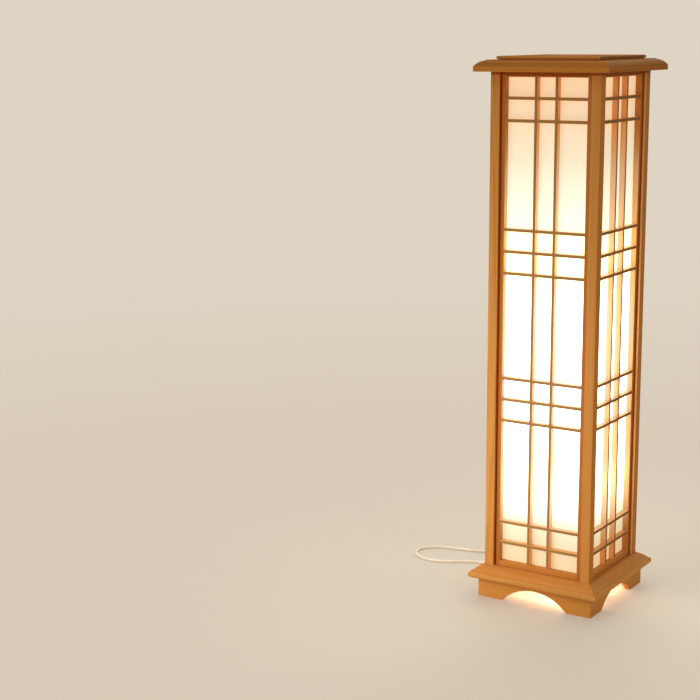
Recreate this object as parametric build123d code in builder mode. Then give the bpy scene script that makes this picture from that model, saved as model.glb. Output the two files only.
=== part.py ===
from build123d import *
import math
import os

# Andon floor lamp: a square lantern of four posts and lattice panels, standing on a moulded base
# with arched aprons, under a moulded lid that lifts off. Millimetres, +Z up, the origin on the
# floor under the middle of the lantern. The front is -Y.

os.makedirs("parts", exist_ok=True)

# ---------------------------------------------------------------- driving dimensions
# Lantern body
body_width = 197.0  # over the outer faces of the posts
post_width = 17.0
post_easing = 1.0
panel_recess = 5.5  # from the posts' outer faces back to the panels' faces
panel_depth = 10.0  # thickness of stiles, rails and lattice
frame_member = 8.6  # face width of the stiles and rails
frame_easing = 0.5
stile_groove_width = 1.2  # shadow line between a post and the stile beside it
stile_groove_depth = 4.0

# Lattice: cells between the bars, seen from outside
bar_width = 5.0
bar_easing = 0.4
small_cell = 31.6
long_cell = 174.5
middle_cell = 31.6  # between the two uprights
long_cell_rows = 3

# Diffusers
diffuser_thickness = 1.0
diffuser_clearance = 0.3
lid_diffuser_thickness = 2.0

# Base
base_width = 240.0
base_moulding_height = 23.0
base_opening = 156.0
base_nose_height = 11.0
base_nose_radius = 4.2
base_quirk = 0.6
base_slope_swell = 0.7  # outwards and upwards, at the slope's middle
base_shoulder_reach = 1.4  # from the posts' outer faces out to the slope
apron_inset = 13.5  # from the base moulding's edge in to the aprons' outer faces
apron_height = 34.5
apron_thickness = 10.0
apron_easing = 0.8
arch_span = 121.0
arch_rise = 26.5

# Lid
lid_width = 240.0
lid_edge_height = 8.6
lid_moulding_height = 19.0
lid_opening = 139.0
lid_edge_easing = 0.4
lid_quirk = 0.8
lid_shelf_width = 13.5  # flat between the raised frame and the ovolo
lid_frame_width = 184.0
lid_frame_height = 6.0
lid_frame_rounding = 2.4
lid_frame_shadow_gap = 1.2
lid_frame_shadow_depth = 2.5
lid_rebate_width = 6.5
lid_lattice_depth = 10.0
cleat_height = 8.0
cleat_width = 8.5
cleat_clearance = 1.5

# Lamp fittings
rail_width = 40.0
rail_thickness = 8.5
column_width = 18.0
column_height = 545.0
lower_holder_height = 178.0  # above the cross rail
upper_holder_height = 470.0
holder_reach = 42.0  # from the column's centre line to a bulb's axis
bracket_thickness = 2.0
bracket_width = 26.0
bracket_leg = 34.0
holder_radius = 19.0
holder_height = 50.0
holder_floor = 14.0
bulb_radius = 30.0
bulb_neck_radius = 13.6
bulb_length = 88.0  # globe only
bulb_wall = 1.2
cap_radius = 13.2
cap_clearance = 0.3
cap_proud = 1.0
flex_diameter = 3.6
flex_bend_radius = 24.0
flex_bend_height = 36.0
flex_hole_clearance = 0.3
screw_diameter = 3.5
screw_head_diameter = 7.0
screw_head_height = 2.2
screw_length = 22.0
bracket_screw_length = 7.0
screw_clearance = 0.1

# Terminal box, gland and cord
terminal_box_length = 44.0
terminal_box_width = 22.0
terminal_box_height = 14.0
terminal_box_wall = 1.6
gland_length = 25.0
gland_collar_length = 4.0
gland_root_diameter = 9.5
gland_tip_diameter = 6.6
cord_diameter = 5.0
floor_clearance = 0.1
coil_turns_across = 3
coil_layers = 2
coil_mean_radius = 27.5
coil_position = (-30.0, 195.0)

# In-line switch and plug
switch_length = 62.0
switch_width = 24.0
switch_height = 15.0
switch_rounding = 5.0
switch_position = (-109.0, 124.0)
rocker_length = 20.0
rocker_width = 9.0
rocker_depth = 7.0
rocker_tilt = 9.0
rocker_clearance = 0.6
plug_length = 28.0  # without its tail
plug_flat_length = 16.0  # where it is at its full width
plug_shoulder_width = 12.0
plug_tail_length = 20.0
plug_tail_diameter = 9.0
plug_width = 25.0
plug_height = 15.0
plug_gap = 34.0  # from the coil's centre to the cord's end of the plug
pin_spacing = 12.7
pin_width = 6.3
pin_thickness = 1.5
pin_length = 17.0

# ---------------------------------------------------------------- worked out from them
body_half = body_width / 2
post_inner = body_half - post_width
panel_face = body_half - panel_recess
panel_back = panel_face - panel_depth
opening_width = 2 * (post_inner - frame_member)
small_rows = 2 * (long_cell_rows + 1)
bar_count = small_rows + long_cell_rows - 1
opening_height = small_rows * small_cell + long_cell_rows * long_cell + bar_count * bar_width
body_height = opening_height + 2 * frame_member
base_half = base_width / 2
apron_width = base_width - 2 * apron_inset
base_top = apron_height + base_moulding_height
body_top = base_top + body_height
lid_half = lid_width / 2
lid_top = body_top + lid_moulding_height + lid_frame_height
cord_radius = cord_diameter / 2
floor_level = cord_radius + floor_clearance
rail_top = apron_height
rail_bottom = rail_top - rail_thickness
rail_end = apron_width / 2 - apron_thickness
pilot_radius = screw_diameter / 2 + screw_clearance
head_radius = screw_head_diameter / 2 + screw_clearance
rail_screw_x = (base_opening / 2 + rail_end) / 2
rail_screw_y = rail_width / 2 - screw_head_diameter
rail_screws_at = [(x * rail_screw_x, y * rail_screw_y) for x in (-1, 1) for y in (-1, 1)]

sides = {
    "front": Vector(0, -1, 0),
    "right": Vector(1, 0, 0),
    "back": Vector(0, 1, 0),
    "left": Vector(-1, 0, 0),
}
up = Vector(0, 0, 1)


def face_plane(outward, distance, height):
    """A plane facing outward, with its x along the side and its y up."""
    return Plane(origin=outward * distance + up * height, x_dir=up.cross(outward), z_dir=outward)


def profile_plane(outward, height):
    """A plane across a side's mouldings: x is the distance from the lamp's axis, y is up."""
    return Plane(origin=up * height, x_dir=outward, z_dir=outward.cross(up))


def outer_faces(shape, outward):
    """A shape's faces that lie furthest out on a side."""
    return shape.faces().group_by(Axis((0, 0, 0), outward))[-1]


def mitre_planes(outward):
    """The two diagonal planes that end a mitred piece, each facing away from the piece."""
    along = up.cross(outward)
    return [Plane(origin=(0, 0, 0), z_dir=(along * way - outward).normalized()) for way in (1, -1)]


# ---------------------------------------------------------------- posts
post_centre = body_half - post_width / 2
for label, x_way, y_way in [
    ("post_front_left", -1, -1),
    ("post_front_right", 1, -1),
    ("post_back_right", 1, 1),
    ("post_back_left", -1, 1),
]:
    with BuildPart() as post:
        with BuildSketch(Plane.XY.offset(base_top)):
            with Locations((x_way * post_centre, y_way * post_centre)):
                Rectangle(post_width, post_width)
        extrude(amount=body_height)
        fillet(post.edges().filter_by(Axis.Z), radius=post_easing)
    post.part.label = label
    export_step(post.part, f"parts/{label}.step")

# ---------------------------------------------------------------- panel frames and lattice
upright_offset = (middle_cell + bar_width) / 2
stile_centre = opening_width / 2 + frame_member / 2
groove_centre = post_inner - stile_groove_width / 2
lap_depth = panel_depth / 2

# Heights of the bars' middles, from the base up: two small cells, then a long one, and so on.
bar_heights = []
level = base_top + frame_member
for row in range(long_cell_rows + 1):
    if row > 0:
        level += long_cell
        bar_heights.append(level + bar_width / 2)
        level += bar_width
    level += small_cell
    bar_heights.append(level + bar_width / 2)
    level += bar_width + small_cell
    if row < long_cell_rows:
        bar_heights.append(level + bar_width / 2)
        level += bar_width

crossings = [(side * upright_offset, height) for side in (-1, 1) for height in bar_heights]
panel_middle = base_top + body_height / 2

for side, outward in sides.items():
    panel_plane = face_plane(outward, panel_face, 0)
    lap_plane = face_plane(outward, panel_face - lap_depth, 0)
    along_side = Axis((0, 0, 0), up.cross(outward))

    with BuildPart() as stiles:
        with BuildSketch(panel_plane):
            with Locations((-stile_centre, panel_middle), (stile_centre, panel_middle)):
                Rectangle(frame_member, body_height)
        extrude(amount=-panel_depth)
        with BuildSketch(panel_plane):
            with Locations((-groove_centre, panel_middle), (groove_centre, panel_middle)):
                Rectangle(stile_groove_width, body_height)
        extrude(amount=-stile_groove_depth, mode=Mode.SUBTRACT)
        chamfer(outer_faces(stiles, outward).edges().filter_by(Axis.Z), length=frame_easing)
    stiles.part.label = f"{side}_panel_stiles"
    export_step(stiles.part, f"parts/{side}_panel_stiles.step")

    with BuildPart() as rails:
        with BuildSketch(panel_plane):
            with Locations(
                (0, base_top + frame_member / 2),
                (0, body_top - frame_member / 2),
            ):
                Rectangle(opening_width, frame_member)
        extrude(amount=-panel_depth)
        chamfer(outer_faces(rails, outward).edges().filter_by(along_side), length=frame_easing)
    rails.part.label = f"{side}_panel_rails"
    export_step(rails.part, f"parts/{side}_panel_rails.step")

    with BuildPart() as uprights:
        with BuildSketch(panel_plane):
            with Locations((-upright_offset, panel_middle), (upright_offset, panel_middle)):
                Rectangle(bar_width, opening_height)
        extrude(amount=-panel_depth)
        chamfer(outer_faces(uprights, outward).edges().filter_by(Axis.Z), length=bar_easing)
        with BuildSketch(panel_plane):
            with Locations(*crossings):
                Rectangle(bar_width, bar_width)
        extrude(amount=-lap_depth, mode=Mode.SUBTRACT)
    uprights.part.label = f"{side}_lattice_uprights"
    export_step(uprights.part, f"parts/{side}_lattice_uprights.step")

    with BuildPart() as bars:
        with BuildSketch(panel_plane):
            with Locations(*[(0, height) for height in bar_heights]):
                Rectangle(opening_width, bar_width)
        extrude(amount=-panel_depth)
        chamfer(outer_faces(bars, outward).edges().filter_by(along_side), length=bar_easing)
        with BuildSketch(lap_plane):
            with Locations(*crossings):
                Rectangle(bar_width, bar_width)
        extrude(amount=-(panel_depth - lap_depth), mode=Mode.SUBTRACT)
    bars.part.label = f"{side}_lattice_bars"
    export_step(bars.part, f"parts/{side}_lattice_bars.step")

    with BuildPart() as diffuser:
        with BuildSketch(face_plane(outward, panel_back, 0)):
            with Locations((0, panel_middle)):
                Rectangle(
                    2 * (post_inner - diffuser_clearance),
                    body_height - 2 * diffuser_clearance,
                )
        extrude(amount=-diffuser_thickness)
    diffuser.part.label = f"{side}_diffuser"
    export_step(diffuser.part, f"parts/{side}_diffuser.step")

# ---------------------------------------------------------------- base mouldings
# Section: a rounded nose, a quirk, a slope that swells a little, a quirk and the flat that
# carries the posts.
slope_top = (body_half + base_shoulder_reach, base_moulding_height - base_quirk)
slope_foot = (base_half - base_nose_radius - base_quirk / 2, base_nose_height + base_quirk)
slope_middle = (
    (slope_top[0] + slope_foot[0]) / 2 + base_slope_swell,
    (slope_top[1] + slope_foot[1]) / 2 + base_slope_swell,
)
base_inner = base_opening / 2

for side, outward in sides.items():
    with BuildPart() as base_moulding:
        with BuildSketch(profile_plane(outward, apron_height)) as base_section:
            with BuildLine():
                Polyline(
                    (slope_top[0], slope_top[1]),
                    (slope_top[0], base_moulding_height),
                    (base_inner, base_moulding_height),
                    (base_inner, 0),
                    (base_half, 0),
                    (base_half, base_nose_height),
                    (slope_foot[0], base_nose_height),
                    (slope_foot[0], slope_foot[1]),
                )
                ThreePointArc(slope_foot, slope_middle, slope_top)
            make_face()
            fillet(base_section.vertices().group_by(Axis.X)[-1], radius=base_nose_radius)
        extrude(amount=base_half, both=True)
        for mitre in mitre_planes(outward):
            split(bisect_by=mitre, keep=Keep.BOTTOM)
        # Pilot holes for the cross rail's screws, in the two sides that it runs between.
        pilots_at = [at for at in rail_screws_at if outward.dot(Vector(*at)) > base_inner]
        if pilots_at:
            with BuildSketch(Plane.XY.offset(apron_height)):
                with Locations(*pilots_at):
                    Circle(pilot_radius)
            extrude(amount=screw_length - rail_thickness, mode=Mode.SUBTRACT)
    base_moulding.part.label = f"base_moulding_{side}"
    export_step(base_moulding.part, f"parts/base_moulding_{side}.step")

# ---------------------------------------------------------------- aprons
apron_half = apron_width / 2
arch_radius = ((arch_span / 2) ** 2 + arch_rise**2) / (2 * arch_rise)

for side, outward in sides.items():
    with BuildPart() as apron:
        with BuildSketch(face_plane(outward, apron_half, 0)):
            with Locations((0, apron_height / 2)):
                Rectangle(apron_width, apron_height)
            with Locations((0, arch_rise - arch_radius)):
                Circle(arch_radius, mode=Mode.SUBTRACT)
        extrude(amount=-apron_thickness)
        eased_edges = outer_faces(apron, outward).edges().filter_by(GeomType.CIRCLE)
        eased_edges += outer_faces(apron, outward).edges().filter_by(Axis.Z)
        chamfer(eased_edges, length=apron_easing)
        for mitre in mitre_planes(outward):
            split(bisect_by=mitre, keep=Keep.BOTTOM)
    apron.part.label = f"apron_{side}"
    export_step(apron.part, f"parts/apron_{side}.step")

# ---------------------------------------------------------------- lid mouldings
# Section: a square edge, an ovolo between two quirks, the flat that carries the raised frame,
# and a rebate underneath for the lid's diffuser.
lid_inner = lid_opening / 2
lid_rebate = lid_inner + lid_rebate_width
lid_frame_half = lid_frame_width / 2
ovolo_foot = (lid_half - lid_quirk, lid_edge_height + lid_quirk)
ovolo_top = (lid_frame_half + lid_shelf_width - lid_quirk, lid_moulding_height - lid_quirk)
ovolo_middle = (
    ovolo_top[0] + (ovolo_foot[0] - ovolo_top[0]) * 0.6,
    ovolo_foot[1] + (ovolo_top[1] - ovolo_foot[1]) * 0.62,
)

for side, outward in sides.items():
    with BuildPart() as lid_moulding:
        with BuildSketch(profile_plane(outward, body_top)) as lid_section:
            with BuildLine():
                Polyline(
                    ovolo_top,
                    (ovolo_top[0], lid_moulding_height),
                    (lid_inner, lid_moulding_height),
                    (lid_inner, lid_diffuser_thickness),
                    (lid_rebate, lid_diffuser_thickness),
                    (lid_rebate, 0),
                    (lid_half, 0),
                    (lid_half, lid_edge_height),
                    (ovolo_foot[0], lid_edge_height),
                    ovolo_foot,
                )
                ThreePointArc(ovolo_foot, ovolo_middle, ovolo_top)
            make_face()
            fillet(lid_section.vertices().group_by(Axis.X)[-1], radius=lid_edge_easing)
        extrude(amount=lid_half, both=True)
        for mitre in mitre_planes(outward):
            split(bisect_by=mitre, keep=Keep.BOTTOM)
    lid_moulding.part.label = f"lid_moulding_{side}"
    export_step(lid_moulding.part, f"parts/lid_moulding_{side}.step")

# ---------------------------------------------------------------- raised frame of the lid
frame_level = body_top + lid_moulding_height
frame_rails = []
for side, outward in sides.items():
    with BuildPart() as frame_rail:
        with BuildSketch(profile_plane(outward, frame_level)) as frame_section:
            with BuildLine():
                Polyline(
                    (lid_inner, 0),
                    (lid_frame_half - lid_frame_shadow_depth, 0),
                    (lid_frame_half - lid_frame_shadow_depth, lid_frame_shadow_gap),
                    (lid_frame_half, lid_frame_shadow_gap),
                    (lid_frame_half, lid_frame_height),
                    (lid_inner, lid_frame_height),
                    close=True,
                )
            make_face()
            rounded_corner = frame_section.vertices().sort_by(Axis.X)[-2:].sort_by(Axis.Y)[-1]
            fillet(rounded_corner, radius=lid_frame_rounding)
        extrude(amount=lid_frame_half, both=True)
        for mitre in mitre_planes(outward):
            split(bisect_by=mitre, keep=Keep.BOTTOM)
    frame_rails.append(frame_rail.part.solid())
lid_top_frame = Compound(label="lid_top_frame", children=frame_rails)
export_step(lid_top_frame, "parts/lid_top_frame.step")

# ---------------------------------------------------------------- lattice of the lid
lid_lap = lid_lattice_depth / 2
lid_crossings = [
    (x_way * upright_offset, y_way * upright_offset) for x_way in (-1, 1) for y_way in (-1, 1)
]
with BuildPart() as long_lid_bars:
    with BuildSketch(Plane.XY.offset(lid_top)):
        with Locations((0, -upright_offset), (0, upright_offset)):
            Rectangle(lid_opening, bar_width)
    extrude(amount=-lid_lattice_depth)
    with BuildSketch(Plane.XY.offset(lid_top - lid_lap)):
        with Locations(*lid_crossings):
            Rectangle(bar_width, bar_width)
    extrude(amount=-(lid_lattice_depth - lid_lap), mode=Mode.SUBTRACT)
with BuildPart() as cross_lid_bars:
    with BuildSketch(Plane.XY.offset(lid_top)):
        with Locations((-upright_offset, 0), (upright_offset, 0)):
            Rectangle(bar_width, lid_opening)
    extrude(amount=-lid_lattice_depth)
    with BuildSketch(Plane.XY.offset(lid_top)):
        with Locations(*lid_crossings):
            Rectangle(bar_width, bar_width)
    extrude(amount=-lid_lap, mode=Mode.SUBTRACT)
lid_lattice = Compound(
    label="lid_lattice",
    children=[*long_lid_bars.part.solids(), *cross_lid_bars.part.solids()],
)
export_step(lid_lattice, "parts/lid_lattice.step")

# ---------------------------------------------------------------- diffuser and cleats of the lid
with BuildPart() as lid_diffuser:
    with BuildSketch(Plane.XY.offset(body_top)):
        Rectangle(
            2 * (lid_rebate - diffuser_clearance),
            2 * (lid_rebate - diffuser_clearance),
        )
    extrude(amount=lid_diffuser_thickness)
lid_diffuser.part.label = "lid_diffuser"
export_step(lid_diffuser.part, "parts/lid_diffuser.step")

# The cleats hold the sheet from below and keep the lid centred in the lantern.
cleat_outer = panel_back - diffuser_thickness - cleat_clearance
cleats = []
for side, outward in sides.items():
    with BuildPart() as cleat:
        with BuildSketch(profile_plane(outward, body_top)):
            with Locations((cleat_outer - cleat_width / 2, -cleat_height / 2)):
                Rectangle(cleat_width, cleat_height)
        extrude(amount=cleat_outer, both=True)
        for mitre in mitre_planes(outward):
            split(bisect_by=mitre, keep=Keep.BOTTOM)
    cleats.append(cleat.part.solid())
lid_cleats = Compound(label="lid_cleats", children=cleats)
export_step(lid_cleats, "parts/lid_cleats.step")

# ---------------------------------------------------------------- cross rail and column
flex_radius = flex_diameter / 2
flex_x = column_width / 2 + flex_radius
flex_hole_radius = flex_radius + flex_hole_clearance
column_screw_at = (0, 0)

with BuildPart() as cross_rail:
    with BuildSketch(Plane.XY.offset(rail_bottom)):
        Rectangle(2 * rail_end, rail_width)
    extrude(amount=rail_thickness)
    with BuildSketch(Plane.XY.offset(rail_bottom)):
        with Locations((-flex_x, 0), (flex_x, 0)):
            Circle(flex_hole_radius)
        with Locations(column_screw_at, *rail_screws_at):
            Circle(pilot_radius)
    extrude(amount=rail_thickness, mode=Mode.SUBTRACT)
    with BuildSketch(Plane.XY.offset(rail_bottom)):
        with Locations(column_screw_at, *rail_screws_at):
            Circle(head_radius)
    extrude(amount=screw_head_height, mode=Mode.SUBTRACT)
cross_rail.part.label = "base_cross_rail"
export_step(cross_rail.part, "parts/base_cross_rail.step")

with BuildPart() as rail_screws:
    with BuildSketch(Plane.XY.offset(rail_bottom)):
        with Locations(column_screw_at, *rail_screws_at):
            Circle(screw_head_diameter / 2)
    extrude(amount=screw_head_height)
    with BuildSketch(Plane.XY.offset(rail_bottom + screw_head_height)):
        with Locations(column_screw_at, *rail_screws_at):
            Circle(screw_diameter / 2)
    extrude(amount=screw_length - screw_head_height)
rail_screws.part.label = "rail_screws"
export_step(rail_screws.part, "parts/rail_screws.step")

# Each holder: its name, which side of the column it stands on, and its shelf's height.
holders = [
    ("lower", -1, rail_top + lower_holder_height),
    ("upper", 1, rail_top + upper_holder_height),
]
column_half = column_width / 2
leg_screws = (bracket_leg / 3, bracket_leg * 0.75)  # below the shelf

with BuildPart() as column:
    with BuildSketch(Plane.XY.offset(rail_top)):
        Rectangle(column_width, column_width)
    extrude(amount=column_height)
    chamfer(column.faces().sort_by(Axis.Z)[-1].edges(), length=post_easing)
    with BuildSketch(Plane.XY.offset(rail_top)):
        Circle(pilot_radius)
    extrude(amount=screw_length - rail_thickness, mode=Mode.SUBTRACT)
    for label, way, shelf in holders:
        with BuildSketch(Plane.YZ.offset(way * column_half)):
            with Locations(*[(0, shelf - drop) for drop in leg_screws]):
                Circle(pilot_radius)
        extrude(amount=-way * bracket_screw_length, mode=Mode.SUBTRACT)
column.part.label = "lamp_column"
export_step(column.part, "parts/lamp_column.step")

with BuildPart() as brackets:
    for label, way, shelf in holders:
        with BuildSketch(Plane.XZ):
            with BuildLine():
                Polyline(
                    (way * column_half, shelf - bracket_leg),
                    (way * (column_half + bracket_thickness), shelf - bracket_leg),
                    (way * (column_half + bracket_thickness), shelf - bracket_thickness),
                    (way * (holder_reach + holder_radius), shelf - bracket_thickness),
                    (way * (holder_reach + holder_radius), shelf),
                    (way * column_half, shelf),
                    close=True,
                )
            make_face()
        extrude(amount=bracket_width / 2, both=True)
        with BuildSketch(Plane.XY.offset(shelf)):
            with Locations((way * holder_reach, 0)):
                Circle(flex_hole_radius)
        extrude(amount=-bracket_thickness, mode=Mode.SUBTRACT)
        with BuildSketch(Plane.YZ.offset(way * column_half)):
            with Locations(*[(0, shelf - drop) for drop in leg_screws]):
                Circle(pilot_radius)
        extrude(amount=way * bracket_thickness, mode=Mode.SUBTRACT)
brackets.part.label = "holder_brackets"
export_step(brackets.part, "parts/holder_brackets.step")

with BuildPart() as bracket_screws:
    for label, way, shelf in holders:
        leg_face = way * (column_half + bracket_thickness)
        with BuildSketch(Plane.YZ.offset(leg_face)):
            with Locations(*[(0, shelf - drop) for drop in leg_screws]):
                Circle(screw_head_diameter / 2)
        extrude(amount=way * screw_head_height)
        with BuildSketch(Plane.YZ.offset(leg_face)):
            with Locations(*[(0, shelf - drop) for drop in leg_screws]):
                Circle(screw_diameter / 2)
        extrude(amount=-way * (bracket_screw_length - screw_clearance))
bracket_screws.part.label = "bracket_screws"
export_step(bracket_screws.part, "parts/bracket_screws.step")

# ---------------------------------------------------------------- lampholders and bulbs
cavity_radius = cap_radius + cap_clearance
globe_middle = bulb_length - bulb_radius
shoulder_angle = math.radians(35)


def globe_outline(wall):
    """Half the section of the globe, its surface set in by wall: neck, shoulder, round top."""
    radius = bulb_radius - wall
    neck = bulb_neck_radius - wall
    shoulder = Vector(
        radius * math.cos(shoulder_angle), globe_middle - radius * math.sin(shoulder_angle)
    )
    slope = Vector(math.sin(shoulder_angle), math.cos(shoulder_angle)) * radius / 2
    crown = (radius * math.cos(shoulder_angle), globe_middle + radius * math.sin(shoulder_angle))
    Bezier((neck, 0), (neck, shoulder.Y / 3), shoulder - slope, shoulder)
    ThreePointArc(shoulder, crown, (0, globe_middle + radius))


for label, way, shelf in holders:
    with BuildPart() as lampholder:
        with BuildSketch(Plane.XY.offset(shelf)):
            with Locations((way * holder_reach, 0)):
                Circle(holder_radius)
        extrude(amount=holder_height)
        fillet(lampholder.faces().sort_by(Axis.Z)[-1].edges(), radius=post_easing)
        with BuildSketch(Plane.XY.offset(shelf + holder_height)):
            with Locations((way * holder_reach, 0)):
                Circle(cavity_radius)
        extrude(amount=holder_floor - holder_height, mode=Mode.SUBTRACT)
        with BuildSketch(Plane.XY.offset(shelf)):
            with Locations((way * holder_reach, 0)):
                Circle(flex_hole_radius)
        extrude(amount=holder_floor, mode=Mode.SUBTRACT)
    lampholder.part.label = f"lampholder_{label}"
    export_step(lampholder.part, f"parts/lampholder_{label}.step")

with BuildPart() as bulb_caps:
    for label, way, shelf in holders:
        with BuildSketch(Plane.XY.offset(shelf + holder_floor)):
            with Locations((way * holder_reach, 0)):
                Circle(cap_radius)
        extrude(amount=holder_height - holder_floor + cap_proud)
        cap_foot = bulb_caps.faces(Select.LAST).sort_by(Axis.Z)[0]
        chamfer(cap_foot.edges(), length=cap_radius / 3)
bulb_caps.part.label = "bulb_caps"
export_step(bulb_caps.part, "parts/bulb_caps.step")

with BuildPart() as bulb_globes:
    for label, way, shelf in holders:
        globe_foot = (way * holder_reach, 0, shelf + holder_height + cap_proud)
        with BuildSketch(Plane(origin=globe_foot, x_dir=(1, 0, 0), z_dir=(0, -1, 0))):
            with BuildLine():
                globe_outline(0)
                Line((0, bulb_length), (0, bulb_length - bulb_wall))
                globe_outline(bulb_wall)
                Line((bulb_neck_radius - bulb_wall, 0), (bulb_neck_radius, 0))
            make_face()
        revolve(axis=Axis(globe_foot, (0, 0, 1)))
bulb_globes.part.label = "bulb_globes"
export_step(bulb_globes.part, "parts/bulb_globes.step")

# ---------------------------------------------------------------- terminal box and inner flex
box_level = rail_bottom - terminal_box_height
with BuildPart() as terminal_box:
    with BuildSketch(Plane.XY.offset(box_level)):
        RectangleRounded(terminal_box_length, terminal_box_width, terminal_box_wall)
    extrude(amount=terminal_box_height)
    with BuildSketch(Plane.XY.offset(box_level + terminal_box_wall)):
        Rectangle(
            terminal_box_length - 2 * terminal_box_wall,
            terminal_box_width - 2 * terminal_box_wall,
        )
    extrude(amount=terminal_box_height - terminal_box_wall, mode=Mode.SUBTRACT)
terminal_box.part.label = "terminal_box"
export_step(terminal_box.part, "parts/terminal_box.step")

# The two leads leave the box through the rail, climb the column and turn up into the holders.
with BuildPart() as inner_flex:
    for label, way, shelf in holders:
        foot = (way * flex_x, 0, rail_bottom - terminal_box_wall)
        bend_foot = (way * flex_x, 0, shelf - bracket_leg - flex_bend_height)
        bend_top = (way * holder_reach, 0, shelf - flex_bend_height)
        end = (way * holder_reach, 0, shelf + holder_floor / 2)
        with BuildLine() as flex_route:
            FilletPolyline(foot, bend_foot, bend_top, end, radius=flex_bend_radius)
        with BuildSketch(Plane(origin=foot, z_dir=(0, 0, 1))):
            Circle(flex_radius)
        sweep(path=flex_route.line)
inner_flex.part.label = "inner_flex"
export_step(inner_flex.part, "parts/inner_flex.step")

# ---------------------------------------------------------------- cord gland
gland_root = terminal_box_length / 2
gland_tip = gland_root + gland_length
gland_level = (box_level + rail_bottom) / 2
with BuildPart() as gland:
    with BuildSketch(
        Plane(origin=(0, 0, gland_level), x_dir=(-1, 0, 0), z_dir=(0, 1, 0))
    ):
        with BuildLine():
            Polyline(
                (gland_root, 0),
                (gland_root, gland_root_diameter / 2),
                (gland_root + gland_collar_length, gland_root_diameter / 2),
                (gland_tip, gland_tip_diameter / 2),
                (gland_tip, 0),
                close=True,
            )
        make_face()
    revolve(axis=Axis((0, 0, gland_level), (-1, 0, 0)))
gland.part.label = "cord_gland"
export_step(gland.part, "parts/cord_gland.step")

# ---------------------------------------------------------------- cord
# The route's points, in order. The cord leaves the gland, drops to the floor, goes out under the
# left apron's arch, turns back on the left of the lamp and runs behind it to the switch; from the
# switch it bends round into a coil, and a short end leaves the coil for the plug.
coil_x, coil_y = coil_position
switch_x, switch_y = switch_position
switch_entry = switch_height / 2
plug_level = plug_height / 2
outer_turn = coil_mean_radius + (coil_turns_across - 1) / 2 * cord_diameter
plug_x = coil_x - plug_gap
plug_y = coil_y + outer_turn

lamp_to_switch = [
    (-gland_tip, 0, gland_level),
    (-gland_tip - 13, 0, gland_level),
    (-gland_tip - 26, 5, gland_level - 5.5),
    (-gland_tip - 39, 12.5, 6.5),
    (-101, 23, floor_level),
    (-123, 36, floor_level),
    (-150, 46.5, floor_level),
    (-180, 45.5, floor_level),
    (-208, 33, floor_level),
    (-235, 14.5, floor_level),
    (-265, 4, floor_level),
    (-296, 9, floor_level),
    (-317, 31, floor_level),
    (-315, 59, floor_level),
    (-295, 79.5, floor_level),
    (-266, 87.5, floor_level),
    (-238, 92.5, floor_level),
    (-210, 101, floor_level),
    (-187, 113, floor_level),
    (switch_x - switch_length / 2 - 26, switch_y - 3, 4),
    (switch_x - switch_length / 2 - 13, switch_y, switch_entry),
    (switch_x - switch_length / 2, switch_y, switch_entry),
]
switch_to_coil = [
    (switch_x + switch_length / 2, switch_y, switch_entry),
    (switch_x + switch_length / 2 + 13, switch_y, switch_entry),
    (switch_x + switch_length / 2 + 27, switch_y + 1.5, 4),
    (-33, 131, floor_level),
    (-14, 145, floor_level),
    (0, 168, floor_level),
    (coil_x + outer_turn, coil_y, floor_level),
]
coil_to_plug = [
    (coil_x, plug_y, plug_level),
    (plug_x, plug_y, plug_level),
]


def bend_radii(points):
    """For each corner, 0.45 of the shorter run over the tangent of half the turn."""
    radii = []
    for before, corner, after in zip(points, points[1:], points[2:]):
        run_in = Vector(*corner) - Vector(*before)
        run_out = Vector(*after) - Vector(*corner)
        half_turn = math.radians(run_in.get_angle(run_out)) / 2
        radii.append(0.45 * min(run_in.length, run_out.length) / math.tan(half_turn))
    return radii


for label, points in [
    ("cord_lamp_to_switch", lamp_to_switch),
    ("cord_switch_to_coil", switch_to_coil),
    ("cord_coil_to_plug", coil_to_plug),
]:
    radii = bend_radii(points)
    with BuildPart() as cord:
        with BuildLine() as route:
            if radii:
                FilletPolyline(*points, radius=radii)
            else:
                Line(*points)
        with BuildSketch(Plane(origin=points[0], z_dir=route.line % 0)):
            Circle(cord_radius)
        sweep(path=route.line)
    cord.part.label = label
    export_step(cord.part, f"parts/{label}.step")
    length = sum(edge.length for edge in route.line.edges())
    share = cord.part.volume / (math.pi * cord_radius**2 * length)
    print(label, "length", round(length), "volume share", round(share, 4))
    print("  radii", [round(radius) for radius in radii])

coil_width = coil_turns_across * cord_diameter
coil_height = coil_layers * cord_diameter
coil_axis = Axis((coil_x, coil_y, 0), (0, 0, 1))
with BuildPart() as coil:
    with BuildSketch(
        Plane(origin=(coil_x, coil_y, floor_clearance), x_dir=(1, 0, 0), z_dir=(0, -1, 0))
    ):
        with Locations((coil_mean_radius, coil_height / 2)):
            RectangleRounded(coil_width, coil_height, cord_radius * 0.9)
    revolve(axis=coil_axis)
coil.part.label = "cord_coil"
export_step(coil.part, "parts/cord_coil.step")
turns = coil_turns_across * coil_layers
print("coil length", round(turns * 2 * math.pi * coil_mean_radius))

# ---------------------------------------------------------------- in-line switch
# The rocker's top is a shallow V, so that one half lies level with the case at each end of its
# travel, and its underside is round about the pivot.
rocker_half = rocker_length / 2
rocker_middle = 2.0  # from the pivot up to the bottom of the V
rocker_ear = rocker_middle + rocker_half * math.tan(math.radians(rocker_tilt))
pivot_level = switch_height - rocker_middle
well_half = math.hypot(rocker_half, rocker_ear) + rocker_clearance / 2
pin_radius = 1.3
pin_reach = 1.5
pin_clearance = 0.05
pivot_plane = Plane(origin=(switch_x, switch_y, pivot_level), x_dir=(1, 0, 0), z_dir=(0, -1, 0))

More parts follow.
